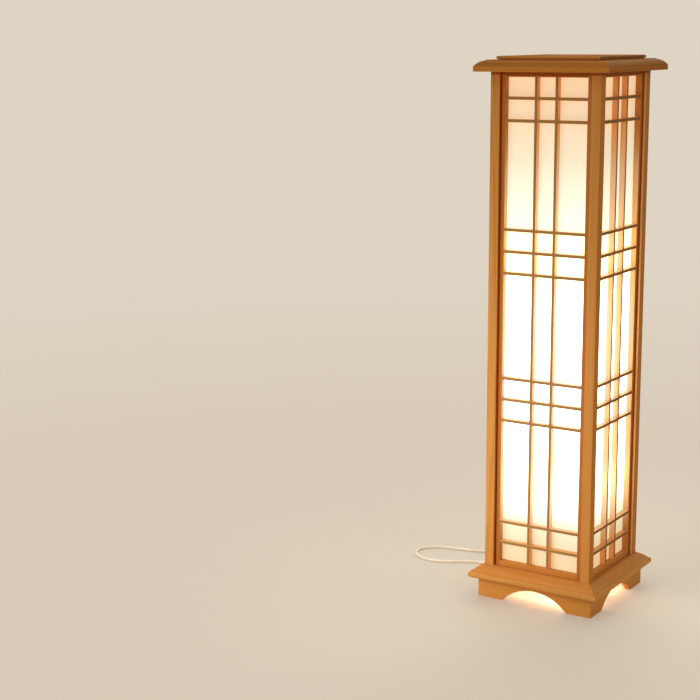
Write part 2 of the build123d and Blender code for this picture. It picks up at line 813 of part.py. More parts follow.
with BuildPart() as switch_body:
    with BuildSketch(Plane.XY):
        with Locations((switch_x, switch_y)):
            RectangleRounded(switch_length, switch_width, switch_rounding)
    extrude(amount=switch_height)
    fillet(switch_body.faces().sort_by(Axis.Z)[-1].edges(), radius=switch_rounding / 2)
    with BuildSketch(Plane.XY.offset(switch_height)):
        with Locations((switch_x, switch_y)):
            Rectangle(2 * well_half, rocker_width + 2 * rocker_clearance)
    extrude(amount=-(rocker_middle + rocker_depth + rocker_clearance), mode=Mode.SUBTRACT)
    with BuildSketch(pivot_plane):
        Circle(pin_radius + pin_clearance)
    extrude(
        amount=rocker_width / 2 + pin_reach + rocker_clearance, both=True, mode=Mode.SUBTRACT
    )
switch_body.part.label = "switch_body"
export_step(switch_body.part, "parts/switch_body.step")

tilt = math.radians(rocker_tilt)
tilted_plane = Plane(
    origin=pivot_plane.origin, x_dir=(math.cos(tilt), 0, math.sin(tilt)), z_dir=(0, -1, 0)
)
with BuildPart() as rocker:
    with BuildSketch(tilted_plane):
        with BuildLine():
            Polyline(
                (-rocker_half, 0),
                (-rocker_half, rocker_ear),
                (0, rocker_middle),
                (rocker_half, rocker_ear),
                (rocker_half, 0),
            )
            ThreePointArc((rocker_half, 0), (0, -rocker_depth), (-rocker_half, 0))
        make_face()
    extrude(amount=rocker_width / 2, both=True)
    with BuildSketch(pivot_plane):
        Circle(pin_radius)
    extrude(amount=rocker_width / 2 + pin_reach, both=True)
rocker.part.label = "switch_rocker"
export_step(rocker.part, "parts/switch_rocker.step")

# ---------------------------------------------------------------- plug
# A moulded grip that swells from a square shoulder to its full width, with a tapered tail that
# bends with the cord.
plug_shoulder = plug_x - plug_tail_length
plug_face = plug_shoulder - plug_length
with BuildPart() as plug_body:
    with BuildSketch(Plane(origin=(plug_x, plug_y, plug_level), z_dir=(-1, 0, 0))):
        Circle(gland_tip_diameter / 2)
    with BuildSketch(Plane(origin=(plug_shoulder, plug_y, plug_level), z_dir=(-1, 0, 0))):
        Circle(plug_tail_diameter / 2)
    loft()
    with BuildSketch(Plane(origin=(plug_shoulder, plug_y, plug_level), z_dir=(-1, 0, 0))):
        RectangleRounded(plug_shoulder_width, plug_shoulder_width, plug_shoulder_width * 0.3)
    with BuildSketch(
        Plane(origin=(plug_face + plug_flat_length, plug_y, plug_level), z_dir=(-1, 0, 0))
    ):
        RectangleRounded(plug_height, plug_width, plug_height * 0.4)
    loft()
    with BuildSketch(
        Plane(origin=(plug_face + plug_flat_length, plug_y, plug_level), z_dir=(-1, 0, 0))
    ):
        RectangleRounded(plug_height, plug_width, plug_height * 0.4)
    extrude(amount=plug_flat_length)
plug_body.part.label = "plug_body"
export_step(plug_body.part, "parts/plug_body.step")

with BuildPart() as plug_pins:
    with BuildSketch(Plane(origin=(plug_face, plug_y, plug_level), z_dir=(-1, 0, 0))):
        with Locations((0, -pin_spacing / 2), (0, pin_spacing / 2)):
            Rectangle(pin_width, pin_thickness)
    extrude(amount=pin_length)
plug_pins.part.label = "plug_pins"
export_step(plug_pins.part, "parts/plug_pins.step")
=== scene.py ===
import math

import bmesh
import bpy
import numpy as np
from mathutils import Matrix, Vector


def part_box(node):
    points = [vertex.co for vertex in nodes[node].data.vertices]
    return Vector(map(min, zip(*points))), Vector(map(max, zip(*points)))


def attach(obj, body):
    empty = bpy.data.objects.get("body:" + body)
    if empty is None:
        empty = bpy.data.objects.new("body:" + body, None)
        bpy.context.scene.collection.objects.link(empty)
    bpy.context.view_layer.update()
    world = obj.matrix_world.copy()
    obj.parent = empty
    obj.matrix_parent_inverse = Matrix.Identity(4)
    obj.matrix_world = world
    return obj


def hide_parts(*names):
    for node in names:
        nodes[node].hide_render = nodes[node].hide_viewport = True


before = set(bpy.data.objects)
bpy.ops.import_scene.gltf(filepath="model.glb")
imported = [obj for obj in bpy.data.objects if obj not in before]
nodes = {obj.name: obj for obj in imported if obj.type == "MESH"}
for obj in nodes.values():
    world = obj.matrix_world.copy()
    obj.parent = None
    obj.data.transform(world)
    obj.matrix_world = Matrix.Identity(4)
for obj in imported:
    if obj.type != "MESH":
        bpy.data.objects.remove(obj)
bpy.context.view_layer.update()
scene = bpy.context.scene
scene.view_settings.view_transform = "Standard"

# ---------------------------------------------------------------- camera
# A long lens to the right of the lantern's front, a little above the lid and looking slightly
# down. Its place and angles are fitted to the edges of the posts and mouldings.
picture_width = 700
focal_length = 1574.6  # in pixels of that width
sensor_width = 36.0
camera_place = Vector((1.1342, -2.4151, 0.9651))
yaw = math.radians(33.105)
pitch = math.radians(-11.410)
roll = math.radians(-0.315)

lens = bpy.data.cameras.new("camera")
lens.sensor_width = sensor_width
lens.lens = focal_length / picture_width * sensor_width
camera = bpy.data.objects.new("camera", lens)
scene.collection.objects.link(camera)
forward = Vector(
    (-math.sin(yaw) * math.cos(pitch), math.cos(yaw) * math.cos(pitch), math.sin(pitch))
)
level_right = Vector((math.cos(yaw), math.sin(yaw), 0))
level_up = level_right.cross(forward)
camera_right = math.cos(roll) * level_right + math.sin(roll) * level_up
camera_up = math.cos(roll) * level_up - math.sin(roll) * level_right
turned = Matrix((camera_right, camera_up, -forward)).transposed()
camera.matrix_world = Matrix.Translation(camera_place) @ turned.to_4x4()
scene.camera = camera

# ---------------------------------------------------------------- studio
# A plain pale floor that passes into the backdrop without a line. Three broad soft lamps and an
# even sky light a face turned to the front about as its colour is written, two soft boxes
# brighten the lower half, and two small lamps stand for the bulbs' light inside the base.


def add(tree, kind, inputs=None, **settings):
    """Adds a shader node. inputs gives its sockets, by name or number, a value or a socket."""
    node = tree.nodes.new("ShaderNode" + kind)
    for setting, value in settings.items():
        setattr(node, setting, value)
    for key, value in (inputs or {}).items():
        if isinstance(value, bpy.types.NodeSocket):
            tree.links.new(value, node.inputs[key])
        else:
            node.inputs[key].default_value = value
    return node


def calculate(tree, operation, *values):
    """The result of a Math node on values and sockets."""
    return add(tree, "Math", dict(enumerate(values)), operation=operation).outputs[0]


def new_material(name):
    """An empty node material and its tree."""
    material = bpy.data.materials.new(name)
    material.use_nodes = True
    material.node_tree.nodes.clear()
    return material, material.node_tree


def sees_backdrop(tree):
    """1 where a ray comes from the camera, a mirror or a pane, so that it sees the backdrop."""
    path = add(tree, "LightPath").outputs
    through = calculate(tree, "MAXIMUM", path["Is Glossy Ray"], path["Is Transmission Ray"])
    return calculate(tree, "MAXIMUM", path["Is Camera Ray"], through)


floor_half = 60.0
floor_colour = (0.85, 0.76, 0.63, 1)
floor_roughness = 0.8
backdrop_colour = (0.74, 0.66, 0.545, 1)
near_share = 0.4  # of the backdrop's even tone in the floor beside the lantern
fade_start = 0.5  # from the lantern, where the floor starts to pass into the backdrop
fade_end = 4.0

floor_mesh = bpy.data.meshes.new("studio_floor")
corner_signs = [(-1, -1), (1, -1), (1, 1), (-1, 1)]
floor_corners = [(x * floor_half, y * floor_half, 0) for x, y in corner_signs]
floor_mesh.from_pydata(floor_corners, [], [(0, 1, 2, 3)])
floor = bpy.data.objects.new("studio_floor", floor_mesh)
scene.collection.objects.link(floor)
material, tree = new_material("matt_floor")
matt = add(tree, "BsdfPrincipled", {"Base Color": floor_colour, "Roughness": floor_roughness})
far = add(tree, "Emission", {"Color": backdrop_colour, "Strength": 1.0})
place = add(tree, "TexCoord").outputs["Object"]
reach = add(tree, "VectorMath", {0: place}, operation="LENGTH").outputs["Value"]
faded = add(
    tree,
    "MapRange",
    {"Value": reach, "From Min": fade_start, "From Max": fade_end, "To Min": near_share},
    interpolation_type="SMOOTHSTEP",
).outputs[0]
seen = calculate(tree, "MULTIPLY", faded, sees_backdrop(tree))
mixed = add(tree, "MixShader", {0: seen, 1: matt.outputs[0], 2: far.outputs[0]})
add(tree, "OutputMaterial", {"Surface": mixed.outputs[0]})
floor_mesh.materials.append(material)

light_tint = (1.0, 0.96, 0.90)
# Each lamp: the way its light comes from, its strength and its angle across.
for name, comes_from, strength, across in [
    ("key_lamp", (-0.55, -1.0, 1.0), 0.35, 35),
    ("fill_lamp", (1.0, -0.35, 0.6), 0.15, 60),
    ("back_lamp", (-0.4, 1.0, 0.9), 1.10, 50),
]:
    light = bpy.data.lights.new(name, "SUN")
    light.energy = strength
    light.angle = math.radians(across)
    light.color = light_tint
    lamp = bpy.data.objects.new(name, light)
    lamp.matrix_world = Vector(comes_from).to_track_quat("Z", "Y").to_matrix().to_4x4()
    scene.collection.objects.link(lamp)

# The floor is out of the soft boxes' light and stays even.
unlit_stage = bpy.data.collections.new("unlit_stage")
unlit_stage.objects.link(floor)
unlit_stage.collection_objects[0].light_linking.link_state = "EXCLUDE"
soft_box_tint = (1.0, 0.98, 0.97)
# Each soft box: its place, what it faces, its width, height and power.
for name, stand, aim, width, height, power in [
    ("front_soft_box", (-0.315, -0.485, 0.27), (0.0, 0.0, 0.27), 0.50, 0.48, 2.6),
    ("side_soft_box", (0.75, -0.25, 0.16), (0.1, 0.0, 0.16), 0.50, 0.30, 0.7),
]:
    light = bpy.data.lights.new(name, "AREA")
    light.shape = "RECTANGLE"
    light.size = width
    light.size_y = height
    light.energy = power
    light.color = soft_box_tint
    lamp = bpy.data.objects.new(name, light)
    turn = (Vector(stand) - Vector(aim)).to_track_quat("Z", "Y").to_matrix().to_4x4()
    lamp.matrix_world = Matrix.Translation(stand) @ turn
    lamp.visible_camera = False
    lamp.light_linking.receiver_collection = unlit_stage
    scene.collection.objects.link(lamp)

# What the bulbs throw down between the base's inner faces, and out through the arches.
glow_radius = 0.012
glow_tint = (1.0, 0.80, 0.52)
for name, place, power in [
    ("front_glow", (0.03, -0.045, 0.022), 0.17),
    ("side_glow", (0.065, 0.03, 0.024), 0.08),
]:
    light = bpy.data.lights.new(name, "POINT")
    light.shadow_soft_size = glow_radius
    light.energy = power
    light.color = glow_tint
    glow = bpy.data.objects.new(name, light)
    glow.location = place
    glow.visible_camera = False
    scene.collection.objects.link(glow)

sky_strength = 0.36
world = bpy.data.worlds.new("sky")
scene.world = world
world.use_nodes = True
tree = world.node_tree
tree.nodes.clear()
unlit = add(tree, "Background", {"Color": backdrop_colour, "Strength": 1.0})
lit = add(tree, "Background", {"Color": (*light_tint, 1), "Strength": sky_strength})
mixed = add(tree, "MixShader", {0: sees_backdrop(tree), 1: lit.outputs[0], 2: unlit.outputs[0]})
add(tree, "OutputWorld", {"Surface": mixed.outputs[0]})

# ---------------------------------------------------------------- base
# A ring of four mitred pine mouldings with a fluted slope and a rounded nose, over four mitred
# aprons whose arches leave bracket feet, all planed and under a clear satin lacquer. A rail
# across the ring's underside carries the fittings.


def surface(tree, **sockets):
    """Ends a material in a Principled shader. Words joined by _ name its sockets."""
    inputs = {key.replace("_", " "): value for key, value in sockets.items()}
    shader = add(tree, "BsdfPrincipled", inputs)
    add(tree, "OutputMaterial", {"Surface": shader.outputs[0]})


def finish_nodes(material, *names):
    """Gives the named CAD nodes this material."""
    for name in names:
        nodes[name].data.materials.clear()
        nodes[name].data.materials.append(material)


def ramp_between(tree, value, start, end):
    """A smooth step of value from 0 at start to 1 at end."""
    inputs = {"Value": value, "From Min": start, "From Max": end}
    return add(tree, "MapRange", inputs, interpolation_type="SMOOTHSTEP").outputs[0]


def blend(tree, mask, colour, other):
    """The colour, and the other one where mask is 1."""
    return add(tree, "MixRGB", {0: mask, 1: colour, 2: other}).outputs[0]


def toned(tree, mask, colour, tone):
    """The colour, multiplied by tone where mask is 1."""
    inputs = {0: mask, 1: colour, 2: tone}
    return add(tree, "MixRGB", inputs, blend_type="MULTIPLY").outputs[0]


def socket(group, name, kind, direction="INPUT", value=None):
    """Adds an input or output to a node group."""
    made = group.interface.new_socket(name=name, in_out=direction, socket_type="NodeSocket" + kind)
    if value is not None:
        made.default_value = value


def softwood_group():
    """Pine sawn lengthways, with the grain along Z of its vector, in metres. Year rings are
    cylinders about a far pith, bent by slow noise that is stretched along the grain and uneven in
    width. Each ring darkens slowly to its late wood and ends sharply, and some rings are faint.
    Fine fibres and broad drifts of tone lie over all."""
    group = bpy.data.node_groups.new("softwood", "ShaderNodeTree")
    socket(group, "Vector", "Vector")
    socket(group, "Light", "Color", value=(0.6, 0.35, 0.15, 1))
    socket(group, "Dark", "Color", value=(0.4, 0.2, 0.08, 1))
    socket(group, "Ring Width", "Float", value=0.004)
    socket(group, "Ring Strength", "Float", value=0.4)
    socket(group, "Color", "Color", "OUTPUT")
    socket(group, "Roughness", "Float", "OUTPUT")
    socket(group, "Height", "Float", "OUTPUT")
    given = group.nodes.new("NodeGroupInput").outputs

    # Each noise: its waves in a metre across the grain and along it, and its detail.
    waves = {
        "bend": (9, 1.3, 2.0),
        "ripple": (120, 6, 2.0),
        "fibre": (1300, 18, 3.0),
        "streak": (260, 3, 3.0),
        "drift": (35, 4, 2.0),
        "hue": (85, 1.6, 1.0),
    }
    bend_depth = 0.045  # in metres, as are the next two
    ripple_depth = 0.004
    pith_place = (0.06, 0.045, 0)
    late_start = 0.2  # the share of a ring's width at which its late wood starts
    late_end = 0.9  # and at which it is darkest
    mean_shade = 0.28  # how much of the dark colour there is outside the late wood
    fibre_shade = 0.45
    streak_shade = 0.55
    drift_shade = 0.7
    hue_half = 0.2
    reddish = (1.03, 0.97, 0.92, 1)
    yellowish = (0.97, 1.03, 1.03, 1)
    mean_roughness = 0.6
    fibre_roughness = 0.2
    ring_height = -0.35

    def noise(name):
        """One of the noises above, about 0."""
        across, along, detail = waves[name]
        scale = (across, across, along)
        moved = add(group, "VectorMath", {0: given["Vector"], 1: scale}, operation="MULTIPLY")
        made = add(group, "TexNoise", {"Vector": moved.outputs[0], "Scale": 1.0, "Detail": detail})
        return calculate(group, "SUBTRACT", made.outputs[0], 0.5)

    bend = calculate(group, "MULTIPLY", noise("bend"), bend_depth)
    ripple = calculate(group, "MULTIPLY", noise("ripple"), ripple_depth)
    pith = add(group, "VectorMath", {0: given["Vector"], 1: pith_place}, operation="ADD")
    flat = add(group, "VectorMath", {0: pith.outputs[0], 1: (1, 1, 0)}, operation="MULTIPLY")
    reach = add(group, "VectorMath", {0: flat.outputs[0]}, operation="LENGTH").outputs["Value"]
    depth = calculate(group, "ADD", calculate(group, "ADD", reach, bend), ripple)
    count = calculate(group, "DIVIDE", depth, given["Ring Width"])
    share = calculate(group, "FRACT", count)
    whole = calculate(group, "FLOOR", count)
    ring = add(group, "TexWhiteNoise", {"W": whole}, noise_dimensions="1D").outputs["Value"]
    late = ramp_between(group, share, late_start, late_end)
    closing = ramp_between(group, share, 1.0, late_end)
    band = calculate(group, "MULTIPLY", calculate(group, "MULTIPLY", late, closing), ring)

    fibre = noise("fibre")
    shade = calculate(group, "MULTIPLY_ADD", band, given["Ring Strength"], mean_shade)
    shade = calculate(group, "MULTIPLY_ADD", fibre, fibre_shade, shade)
    shade = calculate(group, "MULTIPLY_ADD", noise("streak"), streak_shade, shade)
    shade = calculate(group, "MULTIPLY_ADD", noise("drift"), drift_shade, shade)
    shade = add(group, "Clamp", {"Value": shade}).outputs[0]
    hue = ramp_between(group, noise("hue"), -hue_half, hue_half)
    warmth = blend(group, hue, reddish, yellowish)
    colour = toned(group, 1.0, blend(group, shade, given["Light"], given["Dark"]), warmth)
    rough = calculate(group, "MULTIPLY_ADD", fibre, fibre_roughness, mean_roughness)
    height = calculate(group, "MULTIPLY_ADD", band, ring_height, fibre)

    made = group.nodes.new("NodeGroupOutput").inputs
    group.links.new(colour, made["Color"])
    group.links.new(rough, made["Roughness"])
    group.links.new(height, made["Height"])
    return group


softwood = softwood_group()
grain_order = {"x": (1, 2, 0), "y": (2, 0, 1), "z": (0, 1, 2)}
grain_bump = 0.3
grain_depth = 0.0002


def turned_grain(tree, parts, way):
    """The coordinates in the order that puts the grain, along way, third."""
    sockets = {index: parts[axis] for index, axis in enumerate(grain_order[way])}
    return add(tree, "CombineXYZ", sockets).outputs[0]


def pine(name, way, board, tones, rings=(0.004, 0.4), gloss=0.1, marks=()):
    """Lacquered pine with its grain along way, cut from the given place in the tree. tones are
    its early and its late wood, rings the year rings' width and strength, and gloss the
    lacquer's. Where sticks of one piece cross, way is a function that gives 1 on those that run
    along Y. marks are functions that change the colour by the reach from the lantern's middle
    in X and Y and by the height, each with its own values."""
    material, tree = new_material(name)
    place = add(tree, "TexCoord").outputs["Object"]
    parts = add(tree, "SeparateXYZ", {0: place}).outputs
    far_x = calculate(tree, "ABSOLUTE", parts[0])
    far_y = calculate(tree, "ABSOLUTE", parts[1])
    if way in grain_order:
        grain = turned_grain(tree, parts, way)
    else:
        crossing = {
            "Factor": way(tree, far_x, far_y),
            4: turned_grain(tree, parts, "x"),
            5: turned_grain(tree, parts, "y"),
        }
        grain = add(tree, "Mix", crossing, data_type="VECTOR").outputs[1]
    wood = add(tree, "Group", node_tree=softwood)
    placed = add(tree, "VectorMath", {0: grain, 1: board}, operation="ADD").outputs[0]
    tree.links.new(placed, wood.inputs["Vector"])
    wood.inputs["Light"].default_value, wood.inputs["Dark"].default_value = tones
    wood.inputs["Ring Width"].default_value, wood.inputs["Ring Strength"].default_value = rings
    colour = wood.outputs["Color"]
    for mark, *values in marks:
        colour = mark(tree, colour, (far_x, far_y, parts[2]), *values)
    raised = {"Height": wood.outputs["Height"], "Strength": grain_bump, "Distance": grain_depth}
    surface(
        tree,
        Base_Color=colour,
        Roughness=wood.outputs["Roughness"],
        Normal=add(tree, "Bump", raised).outputs[0],
        Specular_IOR_Level=gloss,
    )
    return material


sides_along = {"x": ("front", "back"), "y": ("left", "right")}


def finish_sides(family, board, tones, **dress):
    """Gives the like pieces of all four sides their pine, with the grain along each."""
    for way, sides in sides_along.items():
        finish = pine(f"{family.format('pine')}_{way}", way, board, tones, **dress)
        finish_nodes(finish, *[family.format(side) for side in sides])


honey = ((0.61, 0.262, 0.058, 1), (0.40, 0.150, 0.026, 1))
amber = ((0.59, 0.245, 0.048, 1), (0.43, 0.160, 0.026, 1))
moulding_board = (0.52, 0.21, 0.2)
apron_board = (0.13, 0.47, 0.9)
cross_rail_board = (0.35, 0.35, 0.6)
finish_sides("base_moulding_{}", moulding_board, honey, rings=(0.006, 0.25))
finish_sides("apron_{}", apron_board, amber, rings=(0.007, 0.25))
finish_nodes(pine("pine_cross_rail", "x", cross_rail_board, amber), "base_cross_rail")

# ---------------------------------------------------------------- column and brackets
# A pine column stands on the cross rail and holds both lampholders on zinc-plated brackets, with
# plated wood screws.
column_board = (0.45, 0.15, 0.3)
finish_nodes(pine("pine_column", "z", column_board, amber), "lamp_column")

dull_zinc = (0.46, 0.46, 0.45, 1)
bright_zinc = (0.66, 0.66, 0.63, 1)
material, tree = new_material("zinc_plate")
place = add(tree, "TexCoord").outputs["Object"]
spangle = add(tree, "TexVoronoi", {"Vector": place, "Scale": 350.0}).outputs["Color"]
zinc = blend(tree, spangle, dull_zinc, bright_zinc)
surface(tree, Base_Color=zinc, Metallic=1.0, Roughness=0.38)
finish_nodes(material, "holder_brackets", "bracket_screws", "rail_screws")

# ---------------------------------------------------------------- lampholders and terminal box
# Two black moulded holders, one above the other in the brackets, and a moulded box under the
# rail, in which the cord meets the inner flex.


stipple_depth = 0.0001


def mottled(name, scale, detail, darker, lighter, bump=0.0, **sockets):
    """A material whose colour wavers between two with a noise of scale waves in a metre. bump is
    the strength with which the noise also stands out of the surface."""
    material, tree = new_material(name)
    place = add(tree, "TexCoord").outputs["Object"]
    inputs = {"Vector": place, "Scale": scale, "Detail": detail}
    noise = add(tree, "TexNoise", inputs).outputs[0]
    if bump:
        raised = {"Height": noise, "Strength": bump, "Distance": stipple_depth}
        sockets["Normal"] = add(tree, "Bump", raised).outputs[0]
    surface(tree, Base_Color=blend(tree, noise, darker, lighter), **sockets)
    return material


black_moulding = mottled(
    "black_moulding",
    scale=900.0,
    detail=2.0,
    darker=(0.020, 0.020, 0.021, 1),
    lighter=(0.040, 0.039, 0.037, 1),
    bump=0.3,
    Roughness=0.45,
)
finish_nodes(black_moulding, "lampholder_lower", "lampholder_upper", "terminal_box")

# ---------------------------------------------------------------- bulbs
# Two frosted glass globes with drawn metal caps, screwed into the holders. The frost evens out
# what they give.
drawn_cap = mottled(
    "drawn_cap",
    scale=500.0,
    detail=1.0,
    darker=(0.62, 0.60, 0.55, 1),
    lighter=(0.80, 0.78, 0.73, 1),
    Metallic=1.0,
    Roughness=0.3,
)
finish_nodes(drawn_cap, "bulb_caps")

globe_colour = (0.9, 0.86, 0.78, 1)
warm_light = (1.0, 0.78, 0.50, 1)
pale_light = (1.0, 0.86, 0.62, 1)
globe_strength = 80.0
material, tree = new_material("frosted_globe")
place = add(tree, "TexCoord").outputs["Object"]
frost = add(tree, "TexNoise", {"Vector": place, "Scale": 60.0, "Detail": 3.0}).outputs[0]
surface(
    tree,
    Base_Color=globe_colour,
    Roughness=0.5,
    Emission_Color=blend(tree, frost, warm_light, pale_light),
    Emission_Strength=globe_strength,
)
finish_nodes(material, "bulb_globes")

# ---------------------------------------------------------------- corner posts
# Four square posts of planed pine under a clear satin lacquer, with the grain along them. They stand
# on the base and carry the lid. Painted shade darkens every joint and the faces on the right and
# left, a painted shadow lies under the lid, and past the lip the inner faces carry a painted
# highlight of the sheets' glow.
joint_softness = 0.0006  # the width over which a joint's dark fades out
# painted shade in the joints
joint_painted_shade = (0.42, 0.088, 0.004, 1)
glow_highlight_tone = (1.6, 2.3, 4.5, 1)  # a painted highlight of the sheets' glow on edges of the inner faces
lid_shadow_colour = (0.27, 0.066, 0.005, 1)  # painted shadow under the lid
seat_shade = 0.003  # the height over which it sets in
flank_skin = 0.0004  # how far behind a face its tone starts


def inner_joint(tree, colour, place, edge, lip):
    """Darkens the faces that look inwards, up to edge from the middle, with painted shade. Past lip,
    on the right and left, they carry a painted highlight of the sheets' glow instead."""
    far_x, far_y, height = place
    nearest = calculate(tree, "MINIMUM", far_x, far_y)
    in_joint = ramp_between(tree, nearest, edge + joint_softness, edge)
    past_lip = ramp_between(tree, far_x, lip - joint_softness, lip)
    sheet_lit = calculate(tree, "MULTIPLY", in_joint, past_lip)
    in_painted_shade = calculate(tree, "SUBTRACT", in_joint, sheet_lit)
    return blend(tree, in_painted_shade, toned(tree, sheet_lit, colour, glow_highlight_tone), joint_painted_shade)


def lid_joint(tree, colour, place, seat):
    """Paints the lid's shadow on what lies above seat, under the lid."""
    far_x, far_y, height = place
    return blend(tree, ramp_between(tree, height, seat - seat_shade, seat), colour, lid_shadow_colour)


def flanks(tree, colour, place, edge, tone):
    """Darkens the faces that look to the right and left and lie at edge with painted shade."""
    far_x, far_y, height = place
    on_flank = ramp_between(tree, far_x, edge - flank_skin, edge - flank_skin / 2)
    return toned(tree, on_flank, colour, tone)


corners = ("front_left", "front_right", "back_right", "back_left")
post_board = (0.0, 0.0, 0.0)
post_inner = 0.0815  # from the lantern's middle to the posts' inner faces
post_lip = 0.0955  # and to where those on the right and left carry a painted highlight instead
post_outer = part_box("post_back_right")[1].x
# painted shade on the faces to the right and left
post_flank_shade = (0.84, 0.76, 0.60, 1)
seat_depth = 0.0035  # below the posts' ends, where the painted shadow under the lid is full
lid_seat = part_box("post_front_left")[1].z - seat_depth
post_marks = [
    (flanks, post_outer, post_flank_shade),
    (lid_joint, lid_seat),
    (inner_joint, post_inner, post_lip),
]
post_pine = pine("pine_posts", "z", post_board, honey, marks=post_marks)
finish_nodes(post_pine, *[f"post_{corner}" for corner in corners])

# ---------------------------------------------------------------- panel frames
# On each side two upright stiles and two rails of pine, let into the posts a little behind their
# faces. Their tones are darker than the posts' as painted shade, with painted shade beside the posts
# and a painted shadow under the lid. The edges that face the sheet carry the bulbs' light as painted
# light, palest beside the bulbs.
all_sides = sides_along["x"] + sides_along["y"]
edge_skin = 0.0004  # how far behind a front face the edges start
foot_shade = (0.09, 0.155)  # heights between which the edges turn paler, from the foot up
head_shade = (0.82, 0.71)  # and from the head down
lower_flare = (0.20, 0.27)  # heights between which they take their tone between the bulbs
upper_flare = (0.62, 0.54)


def inner_edges(tree, colour, place, face, at_ends, by_bulbs, between):
    """Paints the sheets' light on what lies behind the front faces, which are at face, as painted
    light: one tone towards the foot and head, one beside each bulb and one between the bulbs."""
    far_x, far_y, height = place
    behind = ramp_between(tree, calculate(tree, "MAXIMUM", far_x, far_y), face, face - edge_skin)
    over_foot = ramp_between(tree, height, *foot_shade)
    under_head = ramp_between(tree, height, *head_shade)
    lit = calculate(tree, "MULTIPLY", over_foot, under_head)
    over_lower = ramp_between(tree, height, *lower_flare)
    under_upper = ramp_between(tree, height, *upper_flare)
    brightest = calculate(tree, "MULTIPLY", over_lower, under_upper)
    tone = blend(tree, brightest, blend(tree, lit, at_ends, by_bulbs), between)
    return toned(tree, behind, colour, tone)


def outer_joint(tree, colour, place, edge):
    """Darkens what lies past edge from the middle of a side with painted shade."""
    far_x, far_y, height = place
    nearest = calculate(tree, "MINIMUM", far_x, far_y)
    return blend(tree, ramp_between(tree, nearest, edge - joint_softness, edge), colour, joint_painted_shade)


# The stiles' and rails' tones are darker than the posts' as painted shade.
stile_shaded_tone = ((0.50, 0.175, 0.030, 1), (0.35, 0.108, 0.015, 1))
rail_shaded_tone = ((0.55, 0.205, 0.036, 1), (0.38, 0.125, 0.018, 1))
stile_board = (0.31, 0.12, 0.4)
rail_board = (0.22, 0.05, 0.1)
rail_drop = 0.002  # how much lower that painted shadow reaches on the rails
groove = 0.0012  # of each stile, darkened from its post with painted shade
frame_face = -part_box("front_panel_rails")[0].y
# Painted light of the sheets on the frames' edges: towards the ends, beside the bulbs and between
# them.
frame_at_ends = (1.15, 1.4, 2.1, 1)
frame_by_bulbs = (1.8, 3.3, 11.0, 1)
frame_between = (1.15, 2.1, 7.5, 1)
frame_edges = (inner_edges, frame_face, frame_at_ends, frame_by_bulbs, frame_between)
stile_marks = [frame_edges, (lid_joint, lid_seat), (outer_joint, post_inner - groove)]
stile_pine = pine("pine_stiles", "z", stile_board, stile_shaded_tone, marks=stile_marks)
finish_nodes(stile_pine, *[f"{side}_panel_stiles" for side in all_sides])
rail_marks = [frame_edges, (lid_joint, lid_seat - rail_drop)]
finish_sides("{}_panel_rails", rail_board, rail_shaded_tone, marks=rail_marks)

# ---------------------------------------------------------------- lattices
# Thin pine sticks, half-lapped into one another, before each sheet: two uprights and ten bars on
# every side. They are a duller green-brown than the frames. Painted shade darkens them on the right
# and left, and painted light of the sheets lies on their edges.
olive = ((0.36, 0.180, 0.045, 1), (0.265, 0.120, 0.026, 1))
lattice_gloss = 0.25
upright_board = (0.22, 0.32, 0.1)
bar_board = (0.07, 0.33, 0.7)
lattice_face = -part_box("front_lattice_bars")[0].y
# Painted light of the sheets on the sticks' edges: towards the ends, beside the bulbs and between
# them.
lattice_at_ends = (2.7, 2.55, 3.6, 1)
lattice_by_bulbs = (2.95, 4.0, 11.5, 1)
lattice_between = (1.8, 2.3, 5.5, 1)
lattice_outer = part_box("right_lattice_bars")[1].x
# painted shade on the faces to the right and left
lattice_flank_shade = (0.68, 0.54, 0.24, 1)
lattice_marks = [
    (inner_edges, lattice_face, lattice_at_ends, lattice_by_bulbs, lattice_between),
    (flanks, lattice_outer, lattice_flank_shade),
]
lattice_dress = {"gloss": lattice_gloss, "marks": lattice_marks}
upright_pine = pine("pine_uprights", "z", upright_board, olive, **lattice_dress)
finish_nodes(upright_pine, *[f"{side}_lattice_uprights" for side in all_sides])
finish_sides("{}_lattice_bars", bar_board, olive, **lattice_dress)

# ---------------------------------------------------------------- diffusers
# Sheets of white PVC paper behind the lattices and in the lid. Two bulbs light them from behind;
# their glow is painted as emission that follows the height, brightest between the bulbs and warm
# towards both ends.
strongest_glow = 4.5
glow_stops = [
    # height, what the sheet gives out there
    (0.060, (0.60, 0.37, 0.14)),
    (0.085, (0.56, 0.39, 0.18)),
    (0.122, (0.58, 0.52, 0.32)),
    (0.150, (0.90, 0.78, 0.54)),
    (0.175, (1.80, 1.60, 1.10)),
    (0.215, (3.10, 2.70, 1.70)),
    (0.275, (4.00, 3.50, 2.50)),
    (0.350, (4.20, 3.70, 2.90)),
    (0.520, (4.20, 3.70, 2.90)),
    (0.575, (3.00, 2.60, 1.40)),
    (0.620, (2.00, 1.70, 0.85)),
    (0.660, (1.35, 1.15, 0.69)),
    (0.700, (0.85, 0.74, 0.57)),
    (0.760, (0.64, 0.57, 0.39)),
    (0.812, (0.66, 0.51, 0.32)),
    (0.845, (0.67, 0.47, 0.28)),
    (0.898, (0.73, 0.47, 0.25)),
]
sheet_colour = (0.40, 0.35, 0.28)
clouding = 0.06  # how far the fibres' clouds lighten and darken it
sheet_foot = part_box("front_diffuser")[0].z
sheet_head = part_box("front_diffuser")[1].z

